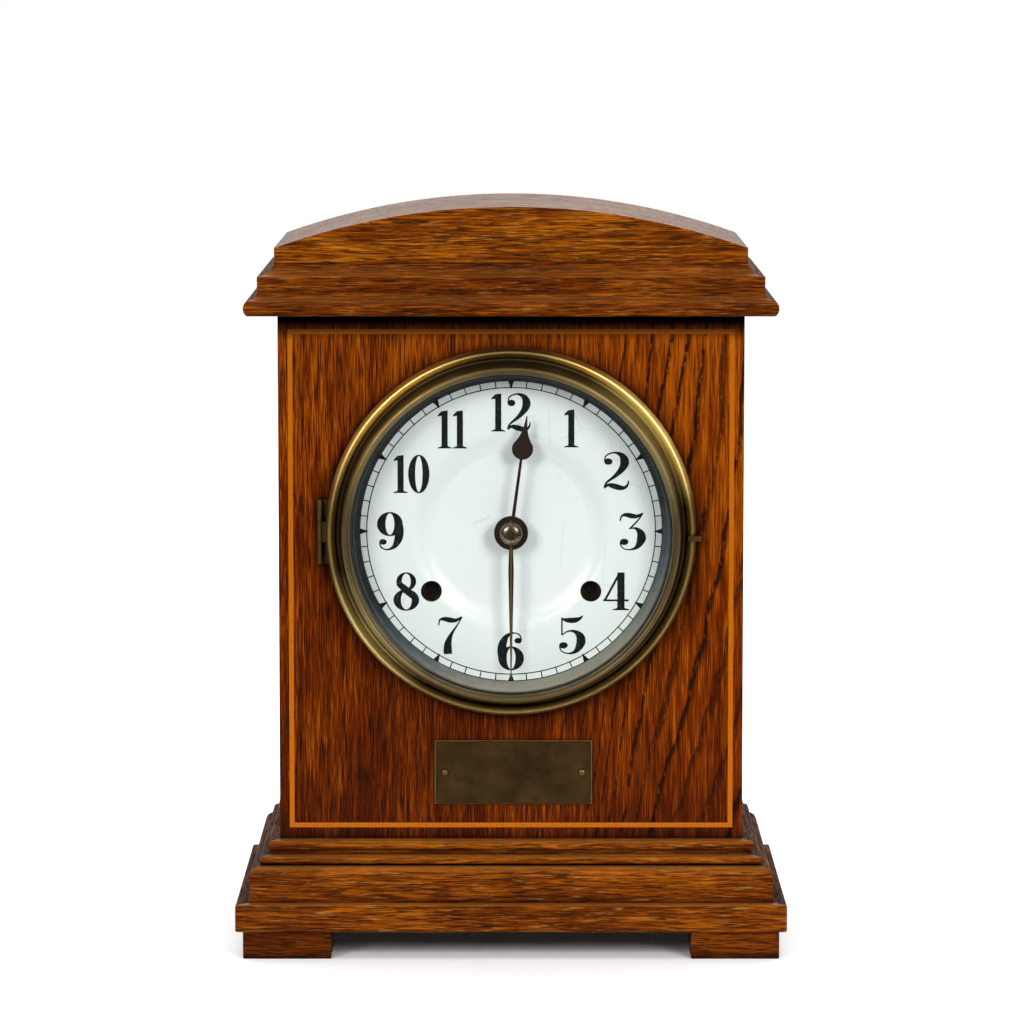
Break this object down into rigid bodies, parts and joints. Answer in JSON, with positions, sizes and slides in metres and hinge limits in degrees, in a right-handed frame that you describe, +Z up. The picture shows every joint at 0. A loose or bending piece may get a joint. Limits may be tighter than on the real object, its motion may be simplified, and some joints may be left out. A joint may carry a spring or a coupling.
{
  "type": "mantel clock",
  "caption": "Oak-cased mantel clock with an arched roof, moulded plinth, hinged glazed brass bezel, white dial, pendulum movement and gong.",
  "frame": {"origin": "middle of the clock's footprint, at the height of the table it stands on", "axes": "+Z up, the dial faces -Y, +X is on the right of a viewer in front"},
  "size_m": [0.2404, 0.14, 0.3272],
  "materials": {
    "oak_upright": "satin",
    "oak_mouldings": "satin",
    "oak_roof": "satin",
    "inner_pine": "satin",
    "inlay": "satin",
    "plaque_brass": "polished",
    "enamel": "satin",
    "bezel_brass": "polished",
    "plate_brass": "polished",
    "glass": "satin",
    "hands": "satin",
    "steel": "satin",
    "blued_spring": "satin",
    "iron": "satin"
  },
  "bodies": {
    "case": {"front_panel": "oak_upright", "string_inlay": "inlay", "left_side_panel": "oak_upright", "right_side_panel": "oak_upright", "base_board": "inner_pine", "top_board": "inner_pine", "back_frame": "inner_pine", "plinth_front": "oak_mouldings", "plinth_left": "oak_mouldings", "plinth_right": "oak_mouldings", "cornice_front": "oak_mouldings", "cornice_left": "oak_mouldings", "cornice_right": "oak_mouldings", "pediment_front": "oak_roof", "pediment_back": "oak_roof", "roof_panel": "oak_roof", "roof_board": "oak_roof", "front_feet": "oak_mouldings", "back_feet": "oak_mouldings", "plaque": "plaque_brass", "plaque_pins": "plaque_brass", "dial": "enamel", "sight_ring": "bezel_brass", "dial_pan": "bezel_brass", "pan_screws": "steel", "movement_front_plate": "plate_brass", "movement_back_plate": "plate_brass", "plate_pillars": "steel", "movement_posts": "steel", "mainsprings": "blued_spring", "gong_coil": "blued_spring", "gong_block": "iron", "door_hinge_leaves": "bezel_brass"},
    "bezel": {"bezel_ring": "bezel_brass", "bezel_glass": "glass", "glass_retainer": "bezel_brass", "bezel_catch": "bezel_brass"},
    "minute_hand": {"cannon_pinion": "plate_brass", "minute_hand": "hands", "hand_nut": "bezel_brass"},
    "hour_hand": {"hour_wheel": "plate_brass", "hour_hand": "hands"},
    "minute_wheel": {"minute_wheel": "plate_brass"},
    "time_winding": {"time_winding_arbor": "steel"},
    "strike_winding": {"strike_winding_arbor": "steel"},
    "time_great_wheel": {"time_great_wheel": "plate_brass"},
    "second_wheel": {"time_second_wheel": "plate_brass"},
    "centre_wheel": {"centre_wheel": "plate_brass"},
    "third_wheel": {"third_wheel": "plate_brass"},
    "escape_wheel": {"escape_wheel": "plate_brass"},
    "pallets": {"pallet_anchor": "steel"},
    "pendulum": {"pendulum_rod": "steel", "pendulum_bob": "plate_brass"},
    "strike_great_wheel": {"strike_great_wheel": "plate_brass"},
    "pin_wheel": {"strike_pin_wheel": "plate_brass"},
    "fly": {"strike_fly": "plate_brass"},
    "hammer": {"hammer": "steel"},
    "back_door": {"back_door": "inner_pine", "door_leaves": "bezel_brass"},
    "door_button": {"door_turn_button": "bezel_brass"}
  },
  "joints": [
    {"name": "bezel_swing", "type": "hinge", "parent": "case", "child": "bezel", "pos_m": [-0.0832, -0.0528, 0.1858], "axis": [0, 0, -1], "range_deg": [0, 110]},
    {"name": "minute_hand_turn", "type": "hinge", "parent": "case", "child": "minute_hand", "pos_m": [0, 0, 0.1858], "axis": [0, 1, 0], "continuous": true},
    {"name": "hour_hand_turn", "type": "hinge", "parent": "case", "child": "hour_hand", "pos_m": [0, 0, 0.1858], "axis": [0, 1, 0], "continuous": true},
    {"name": "minute_wheel_turn", "type": "hinge", "parent": "case", "child": "minute_wheel", "pos_m": [-0.01018, 0, 0.19598], "axis": [0, 1, 0], "continuous": true},
    {"name": "time_winding", "type": "hinge", "parent": "case", "child": "time_winding", "pos_m": [0.0348, 0, 0.1594], "axis": [0, 1, 0], "range_deg": [0, 4320]},
    {"name": "strike_winding", "type": "hinge", "parent": "case", "child": "strike_winding", "pos_m": [-0.0348, 0, 0.1594], "axis": [0, 1, 0], "range_deg": [0, 4320]},
    {"name": "escape_wheel_turn", "type": "hinge", "parent": "case", "child": "escape_wheel", "pos_m": [0, 0, 0.2098], "axis": [0, 1, 0], "continuous": true},
    {"name": "third_wheel_turn", "type": "hinge", "parent": "case", "child": "third_wheel", "pos_m": [0.01409, 0, 0.20065], "axis": [0, 1, 0], "continuous": true},
    {"name": "centre_wheel_turn", "type": "hinge", "parent": "case", "child": "centre_wheel", "pos_m": [0, 0, 0.1858], "axis": [0, 1, 0], "continuous": true},
    {"name": "second_wheel_turn", "type": "hinge", "parent": "case", "child": "second_wheel", "pos_m": [0.00493, 0, 0.16492], "axis": [0, 1, 0], "continuous": true},
    {"name": "time_great_wheel_turn", "type": "hinge", "parent": "case", "child": "time_great_wheel", "pos_m": [0.0348, 0, 0.1594], "axis": [0, 1, 0], "continuous": true},
    {"name": "pendulum_swing", "type": "hinge", "parent": "case", "child": "pendulum", "pos_m": [0, 0, 0.226], "axis": [0, 1, 0], "range_deg": [-4, 4]},
    {"name": "pallet_rock", "type": "hinge", "parent": "case", "child": "pallets", "pos_m": [0, 0, 0.226], "axis": [0, 1, 0], "range_deg": [-4, 4]},
    {"name": "fly_turn", "type": "hinge", "parent": "case", "child": "fly", "pos_m": [-0.02462, 0, 0.202], "axis": [0, 1, 0], "continuous": true},
    {"name": "pin_wheel_turn", "type": "hinge", "parent": "case", "child": "pin_wheel", "pos_m": [-0.02196, 0, 0.18693], "axis": [0, 1, 0], "continuous": true},
    {"name": "strike_great_wheel_turn", "type": "hinge", "parent": "case", "child": "strike_great_wheel", "pos_m": [-0.0348, 0, 0.1594], "axis": [0, 1, 0], "continuous": true},
    {"name": "hammer_lift", "type": "hinge", "parent": "case", "child": "hammer", "pos_m": [-0.058, 0, 0.141], "axis": [0, 1, 0], "range_deg": [0, 18]},
    {"name": "back_door_swing", "type": "hinge", "parent": "case", "child": "back_door", "pos_m": [0.0698, 0.0675, 0.16], "axis": [0, 0, -1], "range_deg": [0, 110]},
    {"name": "door_button_turn", "type": "hinge", "parent": "case", "child": "door_button", "pos_m": [-0.077, 0.066, 0.163], "axis": [0, 1, 0], "range_deg": [0, 90]}
  ],
  "couplings": [
    {"joint": "hour_hand_turn", "follows": "minute_hand_turn", "ratio": 0.083333},
    {"joint": "minute_wheel_turn", "follows": "minute_hand_turn", "ratio": -0.33333},
    {"joint": "third_wheel_turn", "follows": "escape_wheel_turn", "ratio": -0.090909},
    {"joint": "centre_wheel_turn", "follows": "escape_wheel_turn", "ratio": 0.0075758},
    {"joint": "second_wheel_turn", "follows": "escape_wheel_turn", "ratio": -0.0022727},
    {"joint": "time_great_wheel_turn", "follows": "escape_wheel_turn", "ratio": 0.00028409},
    {"joint": "pallet_rock", "follows": "pendulum_swing", "ratio": 1},
    {"joint": "pin_wheel_turn", "follows": "fly_turn", "ratio": -0.13333},
    {"joint": "strike_great_wheel_turn", "follows": "fly_turn", "ratio": 0.016667}
  ]
}
